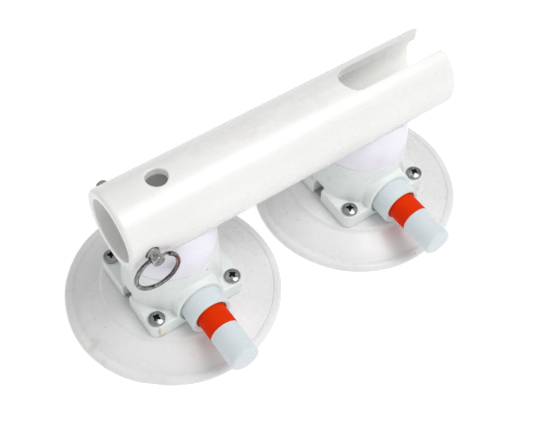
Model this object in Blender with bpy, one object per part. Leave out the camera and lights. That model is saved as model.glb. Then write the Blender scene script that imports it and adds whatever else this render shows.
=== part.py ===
"""Tube holder on two pump vacuum cups.

A short PVC tube lies across two rubber vacuum cups. Each cup carries a hollow plastic tower with a
push pump, and a saddle on the tower's top cradles the tube. A detent pin with a split ring crosses
the tube's near end. +X runs along the tube towards its slotted end, -Y is the side of the pumps and
+Z is up. The origin is on the floor, in the middle of the object's plan.
"""

from math import cos, pi, radians, sin, sqrt

import bmesh
import bpy
from mathutils import Matrix, Vector

MM = 0.001
GAP = 0.3                   # clearance between touching pieces

# Driving dimensions, in millimetres. Cup heights are above the floor, and a cup's own
# X and Y are measured from its vertical axis.
CUP_R = 57.15               # 4.5 inch cup
CUP_PITCH = 120.3
PUMP_REACH = 67.9           # from a cup's axis to the plunger's end, pump at rest
CUP_Y = (PUMP_REACH - CUP_R) / 2    # puts the middle of the whole plan at Y = 0

TUBE_R = 21.1               # 1 1/4 inch pipe, heavy wall
TUBE_WALL = 4.85
TUBE_BORE_R = TUBE_R - TUBE_WALL
TUBE_Z = 75.8
TUBE_X0 = -89.7
TUBE_X1 = 100.7
TOP_CUT_Y = 0.8             # the cuts in the tube's top are not quite opposite its bolts
ACCESS_X = -62.9
ACCESS_R = 5.3
SLOT_HALF = 8.5
SLOT_X0 = 42.0              # tip of the slot's round inner end
SLOT_FRONT_R = 4.0          # corners of the slot's mouth, seen from above
SLOT_BACK_R = 5.0

PIN_R = 3.18                # 1/4 inch pin
PIN_HOLE_R = 3.55
PIN_X = -79.6
PIN_Y0 = -26.9              # handle end, from the tube's axis
PIN_Y1 = 26.6               # tip
RING_HOLE_Y = -23.85
RING_HOLE_R = 1.6
RING_R = 11.2
RING_WIRE_R = 0.95
DETENT_Y = 23.2             # from the tube's axis, just outside the wall
DETENT_R = 1.1
DETENT_HOLE_R = 1.25
DETENT_PROUD = 0.35         # how far the ball stands out of the pin
DETENT_HOLE_TOP = 1.8       # above the pin's axis

PAD_TOP = 12.0              # raised middle of the rubber
PAD_STEP_R = 37.2
PAD_RIM_TOP = 3.9
LIP_R = 50.0                # inner edge of the lip that meets the surface
PLATE_R = 35.8
PLATE_Z0 = 5.4
PLATE_Z1 = 7.2
PORT_R = 6.5

BASE_Z0 = PAD_TOP + GAP
BASE_HALF = 27.3
BASE_CORNER_R = 4.5
GASKET_Z0 = BASE_Z0         # the gasket lies in a recess under the base
GASKET_Z1 = GASKET_Z0 + 0.7
GASKET_HALF = 25.6
GASKET_CORNER_R = 4.0
EAR_TOP = 21.3
SCREW_AT = 22.4             # screw axes from the cup's axis, both ways
SCREW_HEAD_R = 4.25
SCREW_HEAD_HEIGHT = 2.4
SCREW_R = 2.2
SCREW_HOLE_R = 2.6
SCREW_END = PLATE_Z0

TOWER_TOP = 46.0
TOWER_TOP_R = 24.2
TOWER_FOOT_R = 26.3
CAVITY_R = 19.5
CAVITY_TOP = 37.5

PUMP_Z = 26.4
BARREL_R = 9.2              # inside the housing
BARREL_BORE_R = 8.3
BARREL_Y0 = -37.9
BARREL_Y1 = 21.7
BARREL_WALL = 3.0
MOUTH_R = 8.6
MOUTH_DEPTH = 2.5
CAP_Y = -26.5               # back of the barrel's thick front, which the collar holds
CAP_BACK_R = 11.1
CAP_FRONT_R = 11.3
CAP_SHIFT = (0.2, -1.75)    # the thick front and the collar sit lower than the plunger
COLLAR_R = 13.6
COLLAR_Y = -27.8
SEAL_Y = -21.4              # the barrel's seal lies in a groove in the housing's bore
SEAL_WIRE_R = 0.4
SEAL_GROOVE_R = 10.65
SEAL_GROOVE_WIDTH = 1.6

PLUNGER_R = 7.9
PLUNGER_BORE_R = 6.1
PLUNGER_Y1 = -20.0
BAND_Y0 = -49.4
BAND_Y1 = -36.0
BAND_DEPTH = 0.8
PISTON_R = 7.95
PISTON_Y0 = PLUNGER_Y1 + GAP
PISTON_Y1 = -9.0
PISTON_BOSS_R = 4.6

SADDLE_Z0 = TOWER_TOP + GAP
SADDLE_TOP = 65.8
BOLT_R = 3.1
BOLT_HOLE_R = 3.6
WASHER_R = 5.9
WASHER_Z0 = TUBE_Z - sqrt(TUBE_BORE_R ** 2 - WASHER_R ** 2) + GAP
WASHER_THICKNESS = 1.2
BOLT_HEAD_R = 5.6
BOLT_HEAD_HEIGHT = 3.3
BOLT_END = 40.0
INSERT_R = 4.8
INSERT_Z0 = 39.5
INSERT_Z1 = 45.7

ROUND = 20                  # sides of most round pieces
SMALL_ROUND = 12
BROAD_ROUND = 36            # sides of the cup's rubber and the tube


# --- shared helpers ---------------------------------------------------------------------------

def clear_scene():
    for obj in list(bpy.data.objects):
        bpy.data.objects.remove(obj, do_unlink=True)


def material(name, colour, roughness, metallic=0.0):
    """One Principled material by name, shared by pieces of the same stuff."""
    made = bpy.data.materials.get(name)
    if made is None:
        made = bpy.data.materials.new(name)
        made.use_nodes = True
        shader = made.node_tree.nodes["Principled BSDF"]
        shader.inputs["Base Color"].default_value = (*colour, 1.0)
        shader.inputs["Roughness"].default_value = roughness
        shader.inputs["Metallic"].default_value = metallic
    return made


def white_pvc():
    return material("white_pvc", (0.88, 0.88, 0.86), 0.38)


def pad_rubber():
    return material("pad_rubber", (0.78, 0.78, 0.77), 0.55)


def housing_plastic():
    return material("housing_plastic", (0.80, 0.82, 0.82), 0.35)


def pump_plastic():
    return material("pump_plastic", (0.66, 0.71, 0.73), 0.38)


def saddle_plastic():
    return material("saddle_plastic", (0.82, 0.82, 0.91), 0.30)


def band_orange():
    return material("band_orange", (0.80, 0.06, 0.01), 0.40)


def inner_plastic():
    return material("inner_plastic", (0.30, 0.31, 0.32), 0.50)


def seal_rubber():
    return material("seal_rubber", (0.03, 0.03, 0.03), 0.60)


def gasket_rubber():
    return material("gasket_rubber", (0.39, 0.40, 0.40), 0.60)


def steel():
    return material("steel", (0.42, 0.41, 0.40), 0.30, 1.0)


def brass():
    return material("brass", (0.72, 0.52, 0.22), 0.32, 1.0)


def finish(name, bm, stuff, origin=(0.0, 0.0, 0.0), smooth=True):
    """Turn a mesh in millimetres into an object whose origin is at the given point."""
    bmesh.ops.remove_doubles(bm, verts=bm.verts, dist=0.001)
    bmesh.ops.recalc_face_normals(bm, faces=bm.faces)
    bmesh.ops.translate(bm, verts=bm.verts, vec=-Vector(origin))
    bmesh.ops.scale(bm, verts=bm.verts, vec=(MM, MM, MM))
    mesh = bpy.data.meshes.new(name)
    bm.to_mesh(mesh)
    bm.free()
    if smooth:
        mesh.shade_smooth()
        mesh.set_sharp_from_angle(angle=radians(35))
    obj = bpy.data.objects.new(name, mesh)
    obj.location = Vector(origin) * MM
    if stuff is not None:
        mesh.materials.append(stuff())
    bpy.context.scene.collection.objects.link(obj)
    return obj


def cutter(name, bm, origin=(0.0, 0.0, 0.0)):
    obj = finish(name, bm, None, origin, smooth=False)
    obj.hide_render = True
    obj.display_type = "WIRE"
    return obj


def cut(obj, tool, operation="DIFFERENCE"):
    step = obj.modifiers.new(tool.name, "BOOLEAN")
    step.operation = operation
    step.solver = "EXACT"
    step.object = tool


def arc(centre_r, centre_z, radius, start_deg, end_deg, steps):
    """Points of an arc in a turned profile, as (radius, height)."""
    angles = [radians(start_deg + (end_deg - start_deg) * i / steps) for i in range(steps + 1)]
    return [(centre_r + radius * cos(a), centre_z + radius * sin(a)) for a in angles]


def turned(profile, sides=ROUND, closed=False):
    """Spin a profile of (radius, height) points about Z. A closed profile makes a ring."""
    bm = bmesh.new()
    rings = []
    for radius, height in profile:
        if radius < 1e-6:
            rings.append([bm.verts.new((0.0, 0.0, height))])
            continue
        turn = [2 * pi * i / sides for i in range(sides)]
        rings.append([bm.verts.new((radius * cos(a), radius * sin(a), height)) for a in turn])
    pairs = list(zip(rings, rings[1:]))
    if closed:
        pairs.append((rings[-1], rings[0]))
    for low, high in pairs:
        for i in range(sides):
            j = (i + 1) % sides
            if len(low) == 1 and len(high) == 1:
                continue
            if len(low) == 1:
                bm.faces.new((low[0], high[i], high[j]))
            elif len(high) == 1:
                bm.faces.new((low[i], low[j], high[0]))
            else:
                bm.faces.new((low[i], low[j], high[j], high[i]))
    return bm


def rod(radius, low, high, sides=ROUND):
    return turned([(0, low), (radius, low), (radius, high), (0, high)], sides)


def ring_section(inner, outer, low, high, sides=ROUND):
    return turned([(inner, low), (outer, low), (outer, high), (inner, high)], sides, closed=True)


def prism(outline, low, high):
    """Extrude an outline of (x, y) points from one height to another."""
    bm = bmesh.new()
    bottom = [bm.verts.new((x, y, low)) for x, y in outline]
    top = [bm.verts.new((x, y, high)) for x, y in outline]
    bm.faces.new(list(reversed(bottom)))
    bm.faces.new(top)
    count = len(outline)
    for i in range(count):
        j = (i + 1) % count
        bm.faces.new((bottom[i], bottom[j], top[j], top[i]))
    return bm


def rounded_square(half, corner_r, steps=5):
    points = []
    for quarter in range(4):
        turn = quarter * 90
        middle = radians(turn + 45)
        reach = (half - corner_r) * sqrt(2)
        centre = (reach * cos(middle), reach * sin(middle))
        points += arc(*centre, corner_r, turn, turn + 90, steps)
    return points


def block(low, high):
    outline = [(low[0], low[1]), (high[0], low[1]), (high[0], high[1]), (low[0], high[1])]
    return prism(outline, low[2], high[2])


def aim(bm, direction, place):
    """Stand the mesh's Z axis along a direction and move it to a place."""
    turn = Vector((0, 0, 1)).rotation_difference(Vector(direction)).to_matrix().to_4x4()
    bmesh.ops.transform(bm, matrix=Matrix.Translation(place) @ turn, verts=bm.verts)
    return bm


def along_pump(bm, x):
    """Turn a mesh made about Z so that its height becomes Y, on a pump's axis."""
    turn = Matrix.Rotation(radians(-90), 4, "X")
    bmesh.ops.transform(bm, matrix=Matrix.Translation((x, CUP_Y, PUMP_Z)) @ turn, verts=bm.verts)
    return bm


def place(bm, x, y, z=0.0):
    bmesh.ops.translate(bm, verts=bm.verts, vec=(x, y, z))
    return bm


def lowered(bm):
    """Move a pump piece to the axis of the barrel's thick front."""
    return place(bm, CAP_SHIFT[0], 0, CAP_SHIFT[1])


def tube_along(points, radius, sides, closed=False, up=Vector((0, 1, 0))):
    """Sweep a round section along a list of 3-D points that never run along up."""
    bm = bmesh.new()
    count = len(points)
    rings = []
    for i, point in enumerate(points):
        before = points[i - 1] if closed or i else point
        after = points[(i + 1) % count] if closed or i < count - 1 else point
        heading = (after - before).normalized()
        side = heading.cross(up).normalized()
        rise = side.cross(heading)
        turn = [2 * pi * k / sides for k in range(sides)]
        rings.append([bm.verts.new(point + radius * (cos(a) * side + sin(a) * rise)) for a in turn])
    spans = list(zip(rings, rings[1:]))
    if closed:
        spans.append((rings[-1], rings[0]))
    for low, high in spans:
        for k in range(sides):
            m = (k + 1) % sides
            bm.faces.new((low[k], low[m], high[m], high[k]))
    if not closed:
        bm.faces.new(list(reversed(rings[0])))
        bm.faces.new(rings[-1])
    return bm


def cross_recess(name, top, size, depth):
    """A cross-shaped bit pocket that goes down from a height, for a screw's head."""
    arm = size * 0.2
    outline = []
    for quarter in range(4):
        a = radians(90 * quarter)
        for along, across in ((size, -arm), (size, arm), (arm, arm)):
            outline.append((along * cos(a) - across * sin(a), along * sin(a) + across * cos(a)))
    return prism(outline, top - depth, top + 1.0)


# --- tube, pin and ring -----------------------------------------------------------------------

def make_tube():
    body = ring_section(TUBE_BORE_R, TUBE_R, TUBE_X0, TUBE_X1, BROAD_ROUND)
    tube = finish("tube", aim(body, (1, 0, 0), (0, CUP_Y, TUBE_Z)), white_pvc)

    access = rod(ACCESS_R, TUBE_Z, TUBE_Z + 30, 20)
    cut(tube, cutter("access_cutter", place(access, ACCESS_X, CUP_Y + TOP_CUT_Y)))

    front_x = TUBE_X1 - SLOT_FRONT_R
    back_x = TUBE_X1 - SLOT_BACK_R
    front_y = -SLOT_HALF - SLOT_FRONT_R
    back_y = SLOT_HALF + SLOT_BACK_R
    slot = arc(SLOT_X0 + SLOT_HALF, 0, SLOT_HALF, 90, 270, 8)
    slot += arc(front_x, front_y, SLOT_FRONT_R, 90, 0, 4)
    slot += [(TUBE_X1 + 5, front_y), (TUBE_X1 + 5, back_y)]
    slot += arc(back_x, back_y, SLOT_BACK_R, 0, -90, 6)
    shape = prism(slot, TUBE_Z, TUBE_Z + 30)
    cut(tube, cutter("slot_cutter", place(shape, 0, CUP_Y + TOP_CUT_Y)))

    pin_hole = aim(rod(PIN_HOLE_R, -30, 30, 16), (0, 1, 0), (PIN_X, CUP_Y, TUBE_Z))
    cut(tube, cutter("pin_hole_cutter", pin_hole))
    for side, x in cup_places():
        hole = place(rod(BOLT_HOLE_R, TUBE_Z - 30, TUBE_Z, 12), x, CUP_Y)
        cut(tube, cutter(side + "_tube_bolt_cutter", hole))


def make_cross_pin():
    profile = [(0, PIN_Y0), (PIN_R - 0.5, PIN_Y0), (PIN_R, PIN_Y0 + 0.5), (PIN_R, PIN_Y1 - 1.1)]
    profile += [(PIN_R - 1.1, PIN_Y1), (0, PIN_Y1)]
    origin = (PIN_X, CUP_Y, TUBE_Z)
    pin = finish("cross_pin", aim(turned(profile, 16), (0, 1, 0), origin), steel, origin)
    hole = rod(RING_HOLE_R, -10, 10, 10)
    hole = aim(hole, (1, 0, 0), (PIN_X, CUP_Y + RING_HOLE_Y, TUBE_Z))
    cut(pin, cutter("ring_hole_cutter", hole))
    pocket = rod(DETENT_HOLE_R, TUBE_Z - 10, TUBE_Z + DETENT_HOLE_TOP, 10)
    cut(pin, cutter("detent_cutter", place(pocket, PIN_X, CUP_Y + DETENT_Y)))


def make_detent():
    """A sprung ball in the pin's underside holds the pin in the tube until it is pulled."""
    centre_z = TUBE_Z - PIN_R - DETENT_PROUD + DETENT_R
    ball = turned([(DETENT_R * sin(pi * i / 6), -DETENT_R * cos(pi * i / 6)) for i in range(7)], 10)
    origin = (PIN_X, CUP_Y + DETENT_Y, centre_z)
    finish("detent_ball", place(ball, *origin), steel, origin)

    wire_r = 0.2
    low = centre_z + DETENT_R + 0.15 + wire_r
    high = TUBE_Z + DETENT_HOLE_TOP - 0.15 - wire_r
    steps = 24
    points = []
    for i in range(steps + 1):
        a = 2 * pi * 3 * i / steps
        side = Vector((0.8 * cos(a), 0.8 * sin(a), low + (high - low) * i / steps))
        points.append(Vector((PIN_X, CUP_Y + DETENT_Y, 0)) + side)
    finish("detent_spring", tube_along(points, wire_r, 4, up=Vector((0, 0, 1))), steel)


def make_split_ring():
    """The ring hangs straight down from the pin's cross hole, in a plane across the pin."""
    hinge = Vector((PIN_X, CUP_Y + RING_HOLE_Y, TUBE_Z))
    centre = hinge - Vector((0, 0, RING_R))
    turn = [2 * pi * i / 32 for i in range(32)]
    points = [centre + RING_R * Vector((sin(a), 0, cos(a))) for a in turn]
    finish("split_ring", tube_along(points, RING_WIRE_R, 6, closed=True), steel, hinge)


# --- one cup ----------------------------------------------------------------------------------

def cup_places():
    return (("left", -CUP_PITCH / 2), ("right", CUP_PITCH / 2))


def screw_places():
    return ((-SCREW_AT, -SCREW_AT), (SCREW_AT, -SCREW_AT), (SCREW_AT, SCREW_AT),
            (-SCREW_AT, SCREW_AT))


def screw_hole_cutters(obj, side, name, x, radius, low, high):
    """Four holes, turned a little so that no corner of theirs falls on a seam of the piece."""
    for number, (dx, dy) in enumerate(screw_places(), 1):
        hole = rod(radius, low, high, SMALL_ROUND)
        bmesh.ops.rotate(hole, verts=hole.verts, matrix=Matrix.Rotation(radians(7), 3, "Z"))
        place(hole, x + dx, CUP_Y + dy)
        cut(obj, cutter(f"{side}_{name}_hole_{number}", hole))


def make_pad(side, x):
    lip_out = CUP_R - 0.6
    profile = [(LIP_R, 0.0), (lip_out, 0.0), (CUP_R, 0.7), (CUP_R, 2.0)]
    profile += [(CUP_R - 1.0, 3.4), (CUP_R - 2.6, PAD_RIM_TOP), (53.2, PAD_RIM_TOP), (52.4, 3.5)]
    profile += [(45.0, 7.4), (PAD_STEP_R + 1.0, 10.2), (PAD_STEP_R - 0.4, PAD_TOP)]
    profile += [(PORT_R, PAD_TOP), (PORT_R, PLATE_Z1 + GAP), (PLATE_R + GAP, PLATE_Z1 + GAP)]
    profile += [(PLATE_R + GAP, 5.0), (44.0, 2.8), (LIP_R - 1.5, 1.2)]
    pad = finish(side + "_cup_pad", place(turned(profile, BROAD_ROUND, closed=True), x, CUP_Y), pad_rubber)
    screw_hole_cutters(pad, side, "pad", x, SCREW_HOLE_R, 4, 16)


def make_clamp_plate(side, x):
    body = ring_section(PORT_R - 1.5, PLATE_R, PLATE_Z0, PLATE_Z1)
    plate = finish(side + "_clamp_plate", place(body, x, CUP_Y), steel)
    screw_hole_cutters(plate, side, "plate", x, SCREW_HOLE_R, 4, 10)


def make_intake_filter(side, x):
    body = rod(PORT_R - GAP, PLATE_Z1 + GAP, PAD_TOP - GAP, SMALL_ROUND)
    finish(side + "_intake_filter", place(body, x, CUP_Y), inner_plastic)


def make_gasket(side, x):
    outline = rounded_square(GASKET_HALF, GASKET_CORNER_R)
    gasket = finish(side + "_base_gasket", place(prism(outline, GASKET_Z0, GASKET_Z1), x, CUP_Y),
                    gasket_rubber)
    port = place(rod(PORT_R + 1.5, 10, 18, SMALL_ROUND), x, CUP_Y)
    cut(gasket, cutter(side + "_gasket_port", port))
    screw_hole_cutters(gasket, side, "gasket", x, SCREW_HOLE_R, 10, 18)


def make_housing(side, x):
    base = prism(rounded_square(BASE_HALF, BASE_CORNER_R), BASE_Z0, EAR_TOP)
    housing = finish(side + "_housing", place(base, x, CUP_Y), housing_plastic)

    foot = EAR_TOP - 1.0
    tower = [(0, foot), (TOWER_FOOT_R, foot), (TOWER_FOOT_R, EAR_TOP), (25.9, EAR_TOP + 1.5)]
    tower += [(25.5, EAR_TOP + 4.5), (25.0, EAR_TOP + 11.0), (TOWER_TOP_R + 0.1, TOWER_TOP - 0.8)]
    tower += [(TOWER_TOP_R - 0.6, TOWER_TOP), (0, TOWER_TOP)]
    cut(housing, cutter(side + "_tower", place(turned(tower, 28), x, CUP_Y)), "UNION")

    collar = [(0, COLLAR_Y), (COLLAR_R - 1.0, COLLAR_Y), (COLLAR_R, COLLAR_Y + 1.0)]
    collar += [(COLLAR_R + 0.8, -24.8), (COLLAR_R + 1.6, -22.8), (COLLAR_R + 1.6, -17.5), (0, -17.5)]
    cut(housing, cutter(side + "_collar", lowered(along_pump(turned(collar), x))), "UNION")

    # The collar's lower side ends level with the base.
    trim = block((x - 40, CUP_Y - 45, 0), (x + 40, CUP_Y + 45, BASE_Z0))
    cut(housing, cutter(side + "_base_trim", trim))

    cavity = place(rod(CAVITY_R, 5, CAVITY_TOP), x, CUP_Y)
    cut(housing, cutter(side + "_cavity", cavity))
    pocket = place(rod(INSERT_R + GAP, INSERT_Z0 - GAP, TOWER_TOP + 2, SMALL_ROUND), x, CUP_Y)
    cut(housing, cutter(side + "_insert_pocket", pocket))
    notch = block((x - BASE_HALF - 1, CUP_Y - 3.3, BASE_Z0 - 1), (x - 22.4, CUP_Y + 3.3, 23.0))
    cut(housing, cutter(side + "_notch", notch))

    bore_r = BARREL_R + GAP
    groove_y0 = SEAL_Y - SEAL_GROOVE_WIDTH / 2
    groove_y1 = SEAL_Y + SEAL_GROOVE_WIDTH / 2
    bore = [(0, COLLAR_Y - 5), (bore_r, COLLAR_Y - 5), (bore_r, groove_y0), (SEAL_GROOVE_R, groove_y0)]
    bore += [(SEAL_GROOVE_R, groove_y1), (bore_r, groove_y1), (bore_r, BARREL_Y1 + GAP), (0, BARREL_Y1 + GAP)]
    cut(housing, cutter(side + "_barrel_bore", along_pump(turned(bore), x)))
    recess = rounded_square(GASKET_HALF + 0.25, GASKET_CORNER_R + 0.25)
    recess = place(prism(recess, BASE_Z0 - 3, GASKET_Z1 + GAP), x, CUP_Y)
    cut(housing, cutter(side + "_gasket_recess", recess))
    seat = lowered(along_pump(rod(CAP_BACK_R + GAP, COLLAR_Y - 9, CAP_Y + GAP), x))
    cut(housing, cutter(side + "_cap_seat", seat))
    screw_hole_cutters(housing, side, "ear", x, SCREW_HOLE_R, 10, 23)


def make_screws(side, x):
    seat = EAR_TOP + GAP
    head = [(SCREW_HEAD_R, seat), (SCREW_HEAD_R - 0.2, seat + 1.1), (3.0, seat + 2.1),
            (0, seat + SCREW_HEAD_HEIGHT)]
    profile = [(0, SCREW_END), (SCREW_R, SCREW_END), (SCREW_R, seat)] + head
    for number, (dx, dy) in enumerate(screw_places(), 1):
        body = place(turned(profile, SMALL_ROUND), x + dx, CUP_Y + dy)
        screw = finish(f"{side}_screw_{number}", body, steel)
        recess = cross_recess("recess", seat + SCREW_HEAD_HEIGHT, 2.4, 1.3)
        bmesh.ops.rotate(recess, verts=recess.verts, cent=(0, 0, 0),
                         matrix=Matrix.Rotation(radians(20 + 25 * number), 3, "Z"))
        cut(screw, cutter(f"{side}_recess_{number}", place(recess, x + dx, CUP_Y + dy)))


def make_pump_barrel(side, x):
    """A straight tube in the housing, with a thicker front that is not centred on the plunger."""
    outer = [(MOUTH_R, BARREL_Y0), (CAP_FRONT_R - 0.6, BARREL_Y0), (CAP_FRONT_R, BARREL_Y0 + 0.6)]
    outer += [(CAP_BACK_R, CAP_Y)]
    front = len(outer)
    outer += [(BARREL_R, CAP_Y), (BARREL_R, BARREL_Y1)]
    inner = [(1.6, BARREL_Y1), (1.6, BARREL_Y1 - BARREL_WALL)]
    inner += [(BARREL_BORE_R, BARREL_Y1 - BARREL_WALL), (BARREL_BORE_R, BARREL_Y0 + MOUTH_DEPTH)]
    inner += [(MOUTH_R, BARREL_Y0 + MOUTH_DEPTH)]
    bm = turned(outer + inner, BROAD_ROUND, closed=True)
    bm.verts.ensure_lookup_table()
    for vert in bm.verts[BROAD_ROUND:BROAD_ROUND * front]:
        vert.co += Vector((CAP_SHIFT[0], -CAP_SHIFT[1], 0))
    barrel = finish(side + "_pump_barrel", along_pump(bm, x), pump_plastic)
    port = place(rod(1.5, PUMP_Z - 15, PUMP_Z, 8), x, CUP_Y + BARREL_Y1 - BARREL_WALL - 2.5)
    cut(barrel, cutter(side + "_barrel_port", port))


def make_ring_seal(name, radius, wire_r, at, x):
    section = arc(radius, at, wire_r, 0, 270, 3)
    finish(name, along_pump(turned(section, ROUND, closed=True), x), seal_rubber)


def make_plunger(side, x):
    """The push rod, a closed tube that slides 20 mm into the barrel, and the band around it."""
    end = -PUMP_REACH
    groove_r = PLUNGER_R - BAND_DEPTH - 0.1
    profile = [(0, end)] + arc(PLUNGER_R - 1.6, end + 1.6, 1.6, -90, 0, 3)
    profile += [(PLUNGER_R, BAND_Y0), (groove_r, BAND_Y0), (groove_r, BAND_Y1), (PLUNGER_R, BAND_Y1)]
    profile += [(PLUNGER_R, PLUNGER_Y1), (PLUNGER_BORE_R, PLUNGER_Y1)]
    profile += [(PLUNGER_BORE_R, end + 4.0), (0, end + 4.0)]
    axis = (x, CUP_Y, PUMP_Z)
    finish(side + "_plunger", along_pump(turned(profile), x), pump_plastic, axis)
    band = ring_section(groove_r + 0.1, PLUNGER_R, BAND_Y0 + 0.1, BAND_Y1 - 0.1)
    finish(side + "_indicator_band", along_pump(band, x), band_orange, axis)


def make_piston(side, x):
    stem_r = PLUNGER_BORE_R - 0.2
    groove_r = 6.4
    groove_at = (PISTON_Y0 + PISTON_Y1) / 2
    profile = [(0, PISTON_Y0 - 6), (stem_r, PISTON_Y0 - 6), (stem_r, PISTON_Y0)]
    profile += [(PISTON_R, PISTON_Y0), (PISTON_R, groove_at - 1.1), (groove_r, groove_at - 1.1)]
    profile += [(groove_r, groove_at + 1.1), (PISTON_R, groove_at + 1.1), (PISTON_R, PISTON_Y1)]
    profile += [(PISTON_BOSS_R, PISTON_Y1), (PISTON_BOSS_R, PISTON_Y1 + 2), (0, PISTON_Y1 + 2)]
    axis = (x, CUP_Y, PUMP_Z)
    finish(side + "_piston", along_pump(turned(profile), x), inner_plastic, axis)
    make_ring_seal(side + "_piston_seal", 7.35, 0.85, groove_at, x)


def make_return_spring(side, x):
    wire_r = 0.5
    coil_r = 6.3
    turns = 5
    start = PISTON_Y1 + GAP + wire_r
    end = BARREL_Y1 - BARREL_WALL - GAP - wire_r
    steps = turns * 9
    points = []
    for i in range(steps + 1):
        a = 2 * pi * turns * i / steps
        height = start + (end - start) * i / steps
        points.append(Vector((x + coil_r * cos(a), CUP_Y + height, PUMP_Z + coil_r * sin(a))))
    finish(side + "_return_spring", tube_along(points, wire_r, 4), steel)


def make_check_valve(side, x):
    """Rubber umbrella on the barrel's rear wall, with its stem through the wall."""
    wall = BARREL_Y1 - BARREL_WALL
    profile = [(0, wall - 1.6), (2.6, wall - 1.4), (4.2, wall - 0.6), (4.2, wall - GAP)]
    profile += [(1.3, wall - GAP), (1.3, BARREL_Y1 - 0.1), (0, BARREL_Y1 - 0.1)]
    finish(side + "_check_valve", along_pump(turned(profile, SMALL_ROUND), x), seal_rubber)


def make_saddle(side, x):
    profile = [(0, SADDLE_Z0), (24.0, SADDLE_Z0), (24.1, 50.0), (23.9, 54.0), (23.3, 57.8),
               (22.0, 61.8), (19.4, SADDLE_TOP), (0, SADDLE_TOP)]
    saddle = finish(side + "_saddle", place(turned(profile, 28), x, CUP_Y), saddle_plastic)
    seat = aim(rod(TUBE_R + GAP, x - 40, x + 40, BROAD_ROUND), (1, 0, 0), (0, CUP_Y, TUBE_Z))
    cut(saddle, cutter(side + "_saddle_seat", seat))
    hole = place(rod(BOLT_HOLE_R, 40, 60, SMALL_ROUND), x, CUP_Y)
    cut(saddle, cutter(side + "_saddle_hole", hole))


def make_tower_fixing(side, x):
    insert = ring_section(BOLT_R + GAP, INSERT_R, INSERT_Z0, INSERT_Z1, SMALL_ROUND)
    finish(side + "_tower_insert", place(insert, x, CUP_Y), brass)

    washer = ring_section(BOLT_R + GAP, WASHER_R, WASHER_Z0, WASHER_Z0 + WASHER_THICKNESS, 16)
    finish(side + "_mount_washer", place(washer, x, CUP_Y), steel)

    seat = WASHER_Z0 + WASHER_THICKNESS + GAP
    profile = [(0, BOLT_END), (BOLT_R, BOLT_END), (BOLT_R, seat), (BOLT_HEAD_R, seat)]
    profile += [(BOLT_HEAD_R, seat + 1.2), (4.2, seat + 2.8), (3.4, seat + BOLT_HEAD_HEIGHT)]
    profile += [(0, seat + BOLT_HEAD_HEIGHT)]
    bolt = finish(side + "_mount_bolt", place(turned(profile, SMALL_ROUND), x, CUP_Y), steel)
    hexagon = rod(2.3, seat + 1.1, seat + BOLT_HEAD_HEIGHT + 1, 6)
    cut(bolt, cutter(side + "_bolt_socket", place(hexagon, x, CUP_Y)))


def make_cup(side, x):
    make_pad(side, x)
    make_clamp_plate(side, x)
    make_intake_filter(side, x)
    make_gasket(side, x)
    make_housing(side, x)
    make_screws(side, x)
    make_pump_barrel(side, x)
    seal_r = (BARREL_R + SEAL_GROOVE_R) / 2
    make_ring_seal(side + "_barrel_seal", seal_r, SEAL_WIRE_R, SEAL_Y, x)
    make_plunger(side, x)
    make_piston(side, x)
    make_return_spring(side, x)
    make_check_valve(side, x)
    make_saddle(side, x)
    make_tower_fixing(side, x)


def main():
    clear_scene()
    make_tube()
    make_cross_pin()
    make_detent()
    make_split_ring()
    for side, x in cup_places():
        make_cup(side, x)


main()
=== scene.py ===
"""Looks of the two-cup tube holder: moulded shells, turned parts, a split ring and procedural finishes.

The CAD frame gives every place and size. Shapes are worked out here in millimetres and written in metres.
"""

from math import atan2, copysign, cos, hypot, pi, radians, sin, tan

import bmesh
import bpy
import numpy as np
from mathutils import Matrix, Vector


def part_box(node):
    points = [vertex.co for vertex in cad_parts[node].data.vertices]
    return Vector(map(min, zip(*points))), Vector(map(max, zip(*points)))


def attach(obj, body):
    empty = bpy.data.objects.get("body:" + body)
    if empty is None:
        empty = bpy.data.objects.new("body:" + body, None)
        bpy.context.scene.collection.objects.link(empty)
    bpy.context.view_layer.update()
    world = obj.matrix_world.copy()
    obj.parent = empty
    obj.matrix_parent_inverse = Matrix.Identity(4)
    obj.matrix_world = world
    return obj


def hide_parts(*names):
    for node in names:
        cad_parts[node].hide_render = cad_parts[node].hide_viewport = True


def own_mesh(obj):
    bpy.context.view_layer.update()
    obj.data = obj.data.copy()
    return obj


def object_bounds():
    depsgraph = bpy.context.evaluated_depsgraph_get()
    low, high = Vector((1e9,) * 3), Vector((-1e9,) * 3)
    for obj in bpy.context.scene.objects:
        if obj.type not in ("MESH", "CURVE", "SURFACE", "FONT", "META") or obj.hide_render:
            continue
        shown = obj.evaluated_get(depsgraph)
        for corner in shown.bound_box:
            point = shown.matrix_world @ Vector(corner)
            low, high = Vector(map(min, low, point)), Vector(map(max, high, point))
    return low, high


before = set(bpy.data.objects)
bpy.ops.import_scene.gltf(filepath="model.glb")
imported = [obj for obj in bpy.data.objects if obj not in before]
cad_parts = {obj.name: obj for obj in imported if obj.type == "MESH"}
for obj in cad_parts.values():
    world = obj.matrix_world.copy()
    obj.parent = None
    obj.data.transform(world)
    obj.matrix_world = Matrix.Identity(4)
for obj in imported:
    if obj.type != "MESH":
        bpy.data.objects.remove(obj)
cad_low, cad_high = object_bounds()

MM = 0.001
SIDES = ("left", "right")


# --- places and sizes, from the frame -----------------------------------------------------------

def low(node):
    return np.array(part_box(node)[0]) / MM


def high(node):
    return np.array(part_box(node)[1]) / MM


def middle(node):
    return (low(node) + high(node)) / 2


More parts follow.
